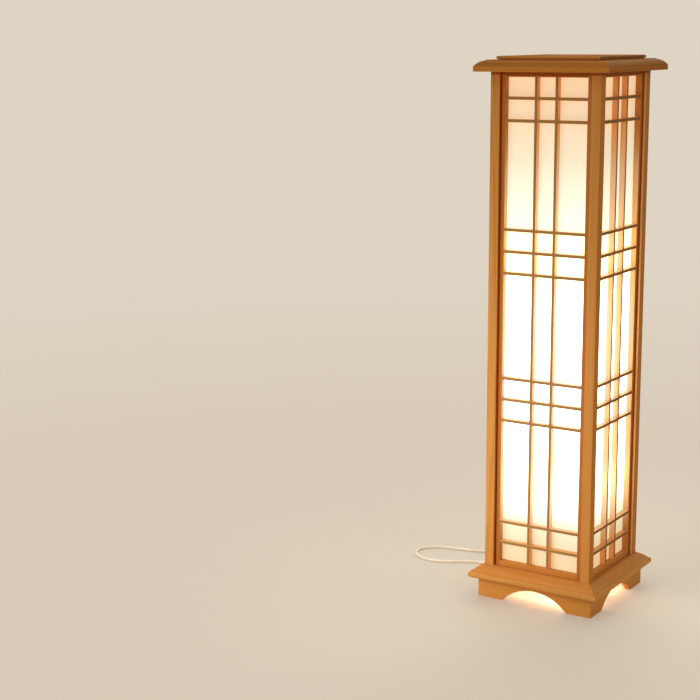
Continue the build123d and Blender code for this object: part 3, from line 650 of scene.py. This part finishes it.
material, tree = new_material("glowing_sheet")
place = add(tree, "TexCoord").outputs["Object"]
height = add(tree, "SeparateXYZ", {0: place}).outputs[2]
inputs = {"Value": height, "From Min": sheet_foot, "From Max": sheet_head}
share = add(tree, "MapRange", inputs).outputs[0]
ramp = add(tree, "ValToRGB", {0: share})
stops = ramp.color_ramp.elements
while len(stops) < len(glow_stops):
    stops.new(0.5)
for stop, (level, colour) in zip(stops, glow_stops):
    stop.position = (level - sheet_foot) / (sheet_head - sheet_foot)
    stop.color = (*[part / strongest_glow for part in colour], 1)
clouds = add(tree, "TexNoise", {"Vector": place, "Scale": 40.0, "Detail": 5.0})
thin_paper = (*[(1 - clouding) * part for part in sheet_colour], 1)
thick_paper = (*[(1 + clouding) * part for part in sheet_colour], 1)
surface(
    tree,
    Base_Color=blend(tree, clouds.outputs[0], thin_paper, thick_paper),
    Roughness=0.55,
    Emission_Color=ramp.outputs[0],
    Emission_Strength=strongest_glow,
)
finish_nodes(material, "lid_diffuser", *[f"{side}_diffuser" for side in all_sides])

# ---------------------------------------------------------------- lid
# Four mitred pine mouldings under a raised, mitred frame, with a lattice of four half-lapped bars
# over the sheet. Four cleats under the lid hold it in place between the posts.
# The mouldings' tones are darker than the posts' as painted shade, darker still on the right and
# left, and the raised frame's is paler as painted light.
lid_shaded_tone = ((0.56, 0.215, 0.041, 1), (0.36, 0.123, 0.019, 1))
lid_side_shaded_tone = ((0.41, 0.162, 0.034, 1), (0.27, 0.094, 0.016, 1))
lid_frame_lit_tone = ((0.72, 0.300, 0.070, 1), (0.52, 0.190, 0.038, 1))
lid_gloss = 0.02
lid_board = (0.41, 0.09, 0.5)
lid_frame_board = (0.18, 0.26, 0.3)
lid_lattice_board = (0.29, 0.02, 0.8)
shaded_frame = (0.55, 0.55, 0.5, 1)
lattice_offset = 0.0183  # of the lid's lattice bars from its middle
lattice_half = 0.0026  # half a bar's width and a little more


def mitred(tree, far_x, far_y):
    """1 on the sticks of a mitred frame that run along Y."""
    return calculate(tree, "GREATER_THAN", far_x, far_y)


def lapped(tree, far_x, far_y):
    """1 beside the lattice bars that run along X, where those that run along Y show."""
    off_line = calculate(tree, "ABSOLUTE", calculate(tree, "SUBTRACT", far_y, lattice_offset))
    return calculate(tree, "GREATER_THAN", off_line, lattice_half)


def right_and_left(tree, colour, place, tone):
    """Darkens a mitred frame's sticks that run along Y with painted shade."""
    far_x, far_y, height = place
    return toned(tree, mitred(tree, far_x, far_y), colour, tone)


for (way, sides), tones in zip(sides_along.items(), (lid_shaded_tone, lid_side_shaded_tone)):
    lid_pine = pine(
        f"lid_moulding_pine_{way}", way, lid_board, tones, rings=(0.005, 0.4), gloss=lid_gloss
    )
    finish_nodes(lid_pine, *[f"lid_moulding_{side}" for side in sides])
frame_marks = [(right_and_left, shaded_frame)]
lid_frame_pine = pine(
    "pine_lid_frame", mitred, lid_frame_board, lid_frame_lit_tone, gloss=lid_gloss, marks=frame_marks
)
finish_nodes(lid_frame_pine, "lid_top_frame", "lid_cleats")
finish_nodes(pine("pine_lid_lattice", lapped, lid_lattice_board, honey), "lid_lattice")

# ---------------------------------------------------------------- mains cord
# Round flex in clear PVC over pale cores, 1.8 m from the gland to the plug. It lies loose on the
# floor as far as the switch, and the length that isn't needed is wound into a neat coil.
cord_diameter = 0.005
lamp_to_switch = [
    (-0.047, 0, 0.019),
    (-0.060, 0, 0.019),
    (-0.073, 0.005, 0.0135),
    (-0.086, 0.0125, 0.0065),
    (-0.101, 0.023, 0.0026),
    (-0.123, 0.036, 0.0026),
    (-0.150, 0.0465, 0.0026),
    (-0.180, 0.0455, 0.0026),
    (-0.208, 0.033, 0.0026),
    (-0.235, 0.0145, 0.0026),
    (-0.265, 0.004, 0.0026),
    (-0.296, 0.009, 0.0026),
    (-0.317, 0.031, 0.0026),
    (-0.315, 0.059, 0.0026),
    (-0.295, 0.0795, 0.0026),
    (-0.266, 0.0875, 0.0026),
    (-0.238, 0.0925, 0.0026),
    (-0.210, 0.101, 0.0026),
    (-0.187, 0.113, 0.0026),
    (-0.166, 0.121, 0.004),
    (-0.153, 0.124, 0.0075),
    (-0.140, 0.124, 0.0075),
]
switch_to_coil = [
    (-0.078, 0.124, 0.0075),
    (-0.065, 0.124, 0.0075),
    (-0.051, 0.1255, 0.004),
    (-0.033, 0.131, 0.0026),
    (-0.014, 0.145, 0.0026),
    (0.000, 0.168, 0.0026),
]
coil_to_plug = [(-0.045, 0.2275, 0.0076), (-0.064, 0.2275, 0.0075)]

coil_centre = (-0.030, 0.195)
coil_radii = (0.0325, 0.0275, 0.0225, 0.0225, 0.0275, 0.0325)  # turn by turn
coil_levels = (0.0026, 0.0076)
points_per_turn = 16
crossing_share = 0.25  # the part of a turn in which the cord moves over to the next turn
cord_smoothness = 5  # of its line and of its round section


def coil_points():
    """Six turns and a quarter, counter-clockwise: three turns side by side on the floor, from the
    outside in, then three on top of them, from the inside out. Each turn keeps its radius until
    its last quarter, where radius and level pass smoothly to the next turn's."""
    last = len(coil_radii) - 1
    steps = np.arange(len(coil_radii) * points_per_turn + points_per_turn // 4 + 1)
    turn = np.minimum(steps // points_per_turn, last)
    share = steps / points_per_turn - turn
    moved = np.clip((share - 1 + crossing_share) / crossing_share, 0, 1)
    moved = np.where(turn == last, 0, moved * moved * (3 - 2 * moved))
    radii = np.array(coil_radii)
    levels = np.repeat(coil_levels, 3)
    following = np.minimum(turn + 1, last)
    radius = radii[turn] * (1 - moved) + radii[following] * moved
    level = levels[turn] * (1 - moved) + levels[following] * moved
    # An order-3 spline runs inside its control points, by this share of their radius.
    radius = radius / math.cos(math.pi / points_per_turn)
    angle = 2 * math.pi * steps / points_per_turn
    along = coil_centre[0] + radius * np.cos(angle)
    across = coil_centre[1] + radius * np.sin(angle)
    return np.column_stack([along, across, level]).tolist()


def lay_cord(name, points, material):
    """A round cord: a smooth order-3 NURBS line on the given control points."""
    line = bpy.data.curves.new(name, "CURVE")
    line.dimensions = "3D"
    line.bevel_depth = cord_diameter / 2
    line.bevel_resolution = cord_smoothness
    line.resolution_u = cord_smoothness
    line.use_fill_caps = True
    spline = line.splines.new("NURBS")
    spline.points.add(len(points) - 1)
    spline.points.foreach_set("co", np.column_stack([points, np.ones(len(points))]).ravel())
    spline.order_u = 3
    spline.use_endpoint_u = True
    line.materials.append(material)
    cord = bpy.data.objects.new(name, line)
    scene.collection.objects.link(cord)
    return cord


clear_pvc = mottled(
    "clear_pvc",
    scale=160.0,
    detail=2.0,
    darker=(0.68, 0.59, 0.46, 1),
    lighter=(0.80, 0.71, 0.58, 1),
    Roughness=0.28,
    Coat_Weight=0.4,
    IOR=1.53,
)
finish_nodes(clear_pvc, "inner_flex", "cord_gland")

lamp_cord = lay_cord("mains_cord_to_switch", lamp_to_switch, clear_pvc)
plug_cord = lay_cord(
    "mains_cord_to_plug", switch_to_coil + coil_points() + coil_to_plug, clear_pvc
)
for cord in (lamp_cord, plug_cord):
    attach(cord, "lantern")
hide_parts("cord_lamp_to_switch")
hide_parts("cord_switch_to_coil", "cord_coil", "cord_coil_to_plug")

# ---------------------------------------------------------------- gland sleeve
# A ribbed sleeve of the cord's own PVC, pushed into the gland of the terminal box, which keeps
# the cord from kinking where it leaves the lamp.


def closed_surfaces(name, shells, material, body="lantern"):
    """A mesh of closed shells. A shell is an array of (row, column, xyz), whose rows close on
    themselves, and whether its rows also close on each other. Where they don't, the first and
    the last end in a point at their middle."""
    vertices, faces = [], []
    for rows, looped in shells:
        count, columns = rows.shape[:2]
        first = len(vertices)
        row, column = np.mgrid[0 : count if looped else count - 1, 0:columns]
        next_row, next_column = (row + 1) % count, (column + 1) % columns
        steps = [(row, column), (row, next_column), (next_row, next_column), (next_row, column)]
        quads = np.stack([first + r * columns + c for r, c in steps], axis=-1)
        faces += quads.reshape(-1, 4).tolist()
        vertices += rows.reshape(-1, 3).tolist()
        if not looped:
            for end in (0, count - 1):
                ring = first + end * columns + np.arange(columns)
                pole = np.full(columns, len(vertices))
                faces += np.column_stack([ring, np.roll(ring, -1), pole]).tolist()
                vertices.append(rows[end].mean(axis=0).tolist())
    mesh = bpy.data.meshes.new(name)
    mesh.from_pydata(vertices, [], faces)
    shaped = bmesh.new()
    shaped.from_mesh(mesh)
    bmesh.ops.recalc_face_normals(shaped, faces=shaped.faces)
    shaped.to_mesh(mesh)
    shaped.free()
    mesh.polygons.foreach_set("use_smooth", np.ones(len(mesh.polygons), bool))
    mesh.materials.append(material)
    piece = bpy.data.objects.new(name, mesh)
    scene.collection.objects.link(piece)
    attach(piece, body)
    return piece


rib_height = 0.0004
rows_per_rib = 8
sleeve_sides = 28


def ribbed_sleeve(root, length, root_radius, tip_radius, ribs):
    """The rows of a tapered sleeve about a line along X, from root and a signed length long. Its
    radius falls evenly, and the ribs stand on it as the square of a sine."""
    share = np.linspace(0, 1, rows_per_rib * ribs + 1)
    radius = root_radius + (tip_radius - root_radius) * share
    radius = radius + rib_height * np.sin(math.pi * ribs * share) ** 2
    angle = np.linspace(0, 2 * math.pi, sleeve_sides, endpoint=False)
    along = root[0] + length * share[:, None] + 0 * angle
    across = root[1] + radius[:, None] * np.cos(angle)
    level = root[2] + radius[:, None] * np.sin(angle)
    return np.stack([along, across, level], axis=-1), False


gland_sleeve_start = 0.004  # outwards from the gland's lamp side
gland_sleeve_length = 0.0205
gland_sleeve_radii = (0.0049, 0.0034)
gland_sleeve_ribs = 6
sleeve_root = (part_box("cord_gland")[1].x - gland_sleeve_start, 0, lamp_to_switch[0][2])
gland_sleeve = ribbed_sleeve(
    sleeve_root, -gland_sleeve_length, *gland_sleeve_radii, gland_sleeve_ribs
)
closed_surfaces("gland_sleeve", [gland_sleeve], clear_pvc)

# ---------------------------------------------------------------- coil tie
# A black strap with a small head holds the coil's six turns together. It passes under them, flat
# on the floor, and its head sits on top.
squareness = 0.6  # the power that squares off a round outline


def squared(value):
    """A sine or cosine raised to the power of squareness, with its sign kept."""
    return np.sign(value) * np.abs(value) ** squareness


def strap(middle, way, rise, half_way, half_rise, corner, half_thick, half_wide):
    """The rows of a strap round a rounded rectangle, which lies in the plane of way and rise.
    Its line is a small rectangle plus a turning radius, and its section is a squared ellipse,
    thick outwards and wide across the plane."""
    rows, columns = 48, 12
    way, rise = np.array(way), np.array(rise)
    turn = (np.arange(rows)[:, None] + 0.5) * 2 * math.pi / rows
    section = np.linspace(0, 2 * math.pi, columns, endpoint=False)
    reach = corner + half_thick * squared(np.cos(section))
    out_way = np.sign(np.cos(turn)) * (half_way - corner) + reach * np.cos(turn)
    out_rise = np.sign(np.sin(turn)) * (half_rise - corner) + reach * np.sin(turn)
    wide = half_wide * squared(np.sin(section)) + 0 * turn
    spots = out_way[..., None] * way + out_rise[..., None] * rise
    return np.array(middle) + spots + wide[..., None] * np.cross(way, rise), True


def pebble(middle, way, rise, half_way, half_rise, half_wide):
    """The rows of a rounded block: an ellipsoid with its sines and cosines squared off. Its
    first and last row lie just short of the poles."""
    rows, columns, pole = 11, 20, 0.49 * math.pi
    way, rise = np.array(way), np.array(rise)
    climb = np.linspace(-pole, pole, rows)[:, None]
    turn = np.linspace(0, 2 * math.pi, columns, endpoint=False)
    level = half_way * squared(np.sin(climb)) + 0 * turn
    spread = squared(np.cos(climb))
    out_rise = half_rise * spread * squared(np.cos(turn))
    wide = half_wide * spread * squared(np.sin(turn))
    spots = level[..., None] * way + out_rise[..., None] * rise
    return np.array(middle) + spots + wide[..., None] * np.cross(way, rise), False


black_strap = mottled(
    "black_strap",
    scale=1500.0,
    detail=2.0,
    darker=(0.016, 0.016, 0.017, 1),
    lighter=(0.048, 0.046, 0.044, 1),
    Roughness=0.5,
)
tie_angle = math.radians(150)
tie_half_width = 0.0025
tie_half_thickness = 0.00025
tie_corner = 0.0022
tie_lift = 0.0003  # keeps the strap's underside off the floor
head_halves = (0.0024, 0.0015, 0.0036)  # along the strap, upwards and across
head_rise = 0.0011  # of the head's middle over the coil
bundle_middle = (coil_radii[0] + coil_radii[2]) / 2
bundle_half = (coil_radii[0] - coil_radii[2] + cord_diameter) / 2
bundle_top = coil_levels[1] + cord_diameter / 2
tie_way = (math.cos(tie_angle), math.sin(tie_angle), 0.0)
tie_spot = (
    coil_centre[0] + bundle_middle * tie_way[0],
    coil_centre[1] + bundle_middle * tie_way[1],
)
tie_strap = strap(
    (*tie_spot, bundle_top / 2 + tie_lift),
    tie_way,
    (0, 0, 1),
    bundle_half + tie_half_thickness,
    bundle_top / 2,
    tie_corner,
    tie_half_thickness,
    tie_half_width,
)
tie_head = pebble((*tie_spot, bundle_top + head_rise), tie_way, (0, 0, 1), *head_halves)
coil_tie = closed_surfaces("coil_tie", [tie_strap, tie_head], black_strap)

# ---------------------------------------------------------------- in-line switch
# An ivory moulded case with a ribbed sleeve at each end, which keeps the cord from kinking, a
# raised frame round the rocker, and the two usual marks on the rocker's halves.
ivory = mottled(
    "ivory_moulding",
    scale=700.0,
    detail=2.0,
    darker=(0.70, 0.62, 0.48, 1),
    lighter=(0.76, 0.69, 0.56, 1),
    bump=0.2,
    Roughness=0.35,
)
finish_nodes(ivory, "switch_body", "switch_rocker")

case_foot, case_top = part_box("switch_body")
switch_sleeve_length = 0.0135
switch_sleeve_radii = (0.0044, 0.0033)
switch_sleeve_ribs = 4
sleeve_bite = 0.0008  # how far a sleeve starts inside its moulding
for name, face, way in [
    ("switch_sleeve_lamp_side", case_foot.x, -1),
    ("switch_sleeve_plug_side", case_top.x, 1),
]:
    root = (face - way * sleeve_bite, *lamp_to_switch[-1][1:])
    length = way * switch_sleeve_length
    sleeve = ribbed_sleeve(root, length, *switch_sleeve_radii, switch_sleeve_ribs)
    closed_surfaces(name, [sleeve], ivory)

well_halves = (0.0109, 0.0051)  # of the opening that the rocker sits in
bezel_half_width = 0.0008
bezel_gap = 0.0002
bezel_corner = 0.0016
bezel_half_height = 0.0006
pivot = ((case_foot.x + case_top.x) / 2, (case_foot.y + case_top.y) / 2)
bezel = strap(
    (*pivot, case_top.z),
    (1, 0, 0),
    (0, 1, 0),
    well_halves[0] + bezel_half_width + bezel_gap,
    well_halves[1] + bezel_half_width + bezel_gap,
    bezel_corner,
    bezel_half_width,
    bezel_half_height,
)
closed_surfaces("switch_bezel", [bezel], ivory)

mark_reach = 0.0055  # from the pivot to the middle of each mark
line_half_length = 0.0018
ring_radius = 0.0016
mark_half_width = 0.0003
mark_half_height = 0.00012
high_slope = math.radians(18)  # of the rocker's half that stands up
high_way = (math.cos(high_slope), 0, math.sin(high_slope))
high_spot = (pivot[0] + mark_reach * high_way[0], pivot[1], case_top.z + mark_reach * high_way[2])
low_spot = (pivot[0] - mark_reach, pivot[1], case_top.z)
line = pebble(
    high_spot, high_way, (0, 1, 0), line_half_length, mark_half_width, mark_half_height
)
ring = strap(
    low_spot,
    (1, 0, 0),
    (0, 1, 0),
    ring_radius,
    ring_radius,
    ring_radius,
    mark_half_width,
    mark_half_height,
)
rocker_marks = closed_surfaces(
    "rocker_marks", [line, ring], black_strap, "switch_rocker"
)

# ---------------------------------------------------------------- plug
# An ivory two-pin plug, moulded onto the end of the cord round its brass pins, with grip ridges
# on its sides and a ribbed tail.
brass = mottled(
    "brass",
    scale=600.0,
    detail=1.0,
    darker=(0.62, 0.43, 0.16, 1),
    lighter=(0.80, 0.60, 0.27, 1),
    Metallic=1.0,
    Roughness=0.28,
)
finish_nodes(brass, "plug_pins")
finish_nodes(ivory, "plug_body")

plug_foot, plug_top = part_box("plug_body")
plug_middle = ((plug_foot.y + plug_top.y) / 2, (plug_foot.z + plug_top.z) / 2)
first_ridge = 0.0035  # from the plug's pin side
ridge_pitch = 0.0026
ridge_count = 4
ridge_halves = (0.0042, 0.0007, 0.0007)
ridges = [
    pebble((spot, side, plug_middle[1]), (0, 0, 1), (1, 0, 0), *ridge_halves)
    for spot in plug_foot.x + first_ridge + ridge_pitch * np.arange(ridge_count)
    for side in (plug_foot.y, plug_top.y)
]
tail_start = 0.0195  # inwards from the plug's cord side
tail_length = 0.0205
tail_radii = (0.0047, 0.0034)
tail_ribs = 6
tail_root = (plug_top.x - tail_start, *plug_middle)
plug_tail = ribbed_sleeve(tail_root, tail_length, *tail_radii, tail_ribs)
plug_pieces = [
    "plug_body",
    "plug_pins",
    closed_surfaces("plug_sleeve", [plug_tail], ivory),
    closed_surfaces("plug_ridges", ridges, ivory),
    coil_tie,
]
